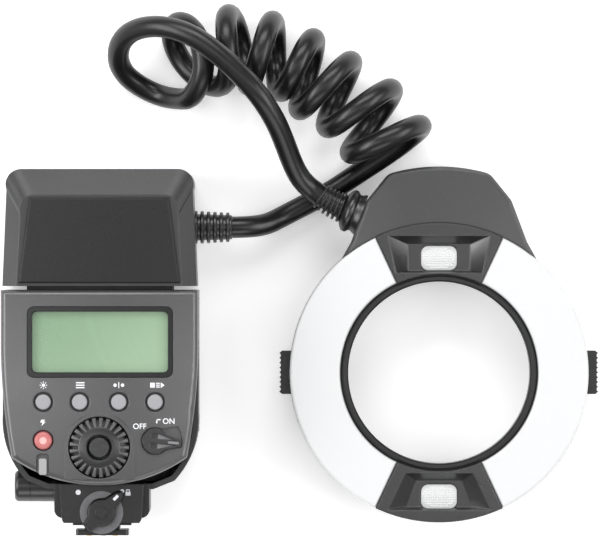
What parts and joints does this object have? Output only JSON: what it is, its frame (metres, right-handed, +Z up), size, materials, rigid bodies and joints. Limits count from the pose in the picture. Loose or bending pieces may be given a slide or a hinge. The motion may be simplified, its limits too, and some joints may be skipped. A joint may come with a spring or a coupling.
{
  "type": "macro ring flash",
  "caption": "Macro flash in two halves on a curly cord: a control unit with display, dial and shoe foot, and a ring head that clips round a lens.",
  "frame": {"origin": "centre of the underside of the box round the control unit and ring head, as they lie on a table, the cord not counted", "axes": "+Z up from the table, out of the display and the ring's front; +X from the control unit to the ring head; +Y from the shoe foot to the flash head's top"},
  "size_m": [0.2108, 0.1891, 0.0582],
  "materials": {
    "shell": "fine matt black",
    "shell_satin": "satin black",
    "panel": "satin black",
    "bezel": "gloss black",
    "window": "clear",
    "display": "grey-green cells",
    "button": "matt",
    "pilot": "translucent red",
    "lamp": "milky",
    "dial": "satin",
    "switch": "satin",
    "board": "solder mask",
    "component": "moulded",
    "cell": "foil sleeve",
    "contact": "plated",
    "tray": "moulded",
    "steel": "bright",
    "can": "sleeved can",
    "core": "ferrite",
    "foot": "matt",
    "rubber": "satin",
    "rim": "satin",
    "diffuser": "ribbed, milky",
    "led_window": "ribbed",
    "led": "clear dome",
    "tube": "clear",
    "reflector": "bright"
  },
  "bodies": {
    "housing": {"front_housing": "shell", "rear_housing": "shell", "head_neck": "tray", "head_housing": "shell", "head_cover": "shell_satin", "head_panel": "panel", "display_bezel": "bezel", "display_window": "window", "display_module": "display", "main_board": "board", "board_switches": "component", "confirm_lamp": "lamp", "battery_holder": "tray", "battery_cells": "cell", "battery_contacts": "contact", "hinge_rod": "steel", "flash_capacitor": "can", "charge_transformer": "core", "head_board": "board", "socket_barrel": "rubber", "foot_block": "foot", "shoe_foot": "foot", "shoe_contacts": "contact", "lock_washer": "steel", "case_screws": "steel", "unit_relief": "rubber", "ring_relief": "rubber", "inner_rim": "rim", "rear_cover": "shell", "ring_frame": "shell", "hump_cover": "shell_satin", "left_diffuser": "diffuser", "right_diffuser": "diffuser", "lamp_windows": "led_window", "focus_lamps": "led", "flash_tubes": "tube", "reflectors": "reflector", "ring_board": "board", "cord_to_unit": "rubber", "cord_to_ring": "rubber", "cord_coil": "rubber"},
    "backlight_button": {"backlight_button": "button"},
    "mode_button": {"mode_button": "button"},
    "ratio_button": {"ratio_button": "button"},
    "lamp_button": {"lamp_button": "button"},
    "pilot_button": {"pilot_button": "pilot"},
    "set_button": {"set_button": "dial"},
    "select_dial": {"select_dial": "dial"},
    "power_switch": {"power_switch": "switch"},
    "lock_lever": {"lock_lever": "foot"},
    "lock_pin": {"lock_pin": "steel"},
    "battery_door": {"battery_door": "shell"},
    "socket_cap": {"socket_cap": "rubber"},
    "left_latch": {"left_release_button": "shell", "left_latch_plate": "tray", "left_latch_spring": "steel"},
    "right_latch": {"right_release_button": "shell", "right_latch_plate": "tray", "right_latch_spring": "steel"}
  },
  "joints": [
    {"name": "backlight_press", "type": "slide", "parent": "housing", "child": "backlight_button", "axis": [0, 0, -1], "range_m": [0, 0.0005], "stiffness_N_per_m": 300, "springref_m": -0.0015},
    {"name": "mode_press", "type": "slide", "parent": "housing", "child": "mode_button", "axis": [0, 0, -1], "range_m": [0, 0.0005], "stiffness_N_per_m": 300, "springref_m": -0.0015},
    {"name": "ratio_press", "type": "slide", "parent": "housing", "child": "ratio_button", "axis": [0, 0, -1], "range_m": [0, 0.0005], "stiffness_N_per_m": 300, "springref_m": -0.0015},
    {"name": "lamp_press", "type": "slide", "parent": "housing", "child": "lamp_button", "axis": [0, 0, -1], "range_m": [0, 0.0005], "stiffness_N_per_m": 300, "springref_m": -0.0015},
    {"name": "pilot_press", "type": "slide", "parent": "housing", "child": "pilot_button", "axis": [0, 0, -1], "range_m": [0, 0.0005], "stiffness_N_per_m": 300, "springref_m": -0.0015},
    {"name": "set_press", "type": "slide", "parent": "housing", "child": "set_button", "axis": [0, 0, -1], "range_m": [0, 0.0005], "stiffness_N_per_m": 300, "springref_m": -0.0015},
    {"name": "dial_turn", "type": "hinge", "parent": "housing", "child": "select_dial", "pos_m": [-0.0708, -0.03335, 0.056], "axis": [0, 0, 1], "continuous": true},
    {"name": "power_turn", "type": "hinge", "parent": "housing", "child": "power_switch", "pos_m": [-0.05125, -0.0311, 0.056], "axis": [0, 0, 1], "range_deg": [0, 30]},
    {"name": "lock_turn", "type": "hinge", "parent": "housing", "child": "lock_lever", "pos_m": [-0.07025, -0.0564, 0.048], "axis": [0, 0, 1], "range_deg": [0, 90]},
    {"name": "lock_pin_slide", "type": "slide", "parent": "housing", "child": "lock_pin", "axis": [0, 1, 0], "range_m": [0, 0.0012]},
    {"name": "door_swing", "type": "hinge", "parent": "housing", "child": "battery_door", "pos_m": [-0.03755, -0.0055, 0.0062], "axis": [0, 1, 0], "range_deg": [0, 90]},
    {"name": "cap_pull", "type": "slide", "parent": "housing", "child": "socket_cap", "axis": [-1, 0, 0], "range_m": [0, 0.006]},
    {"name": "left_release", "type": "slide", "parent": "housing", "child": "left_latch", "axis": [1, 0, 0], "range_m": [0, 0.002], "stiffness_N_per_m": 400, "springref_m": -0.002},
    {"name": "right_release", "type": "slide", "parent": "housing", "child": "right_latch", "axis": [-1, 0, 0], "range_m": [0, 0.002], "stiffness_N_per_m": 400, "springref_m": -0.002}
  ],
  "couplings": [
    {"joint": "lock_turn", "follows": "lock_pin_slide", "rad_per_m": 1308.9}
  ]
}
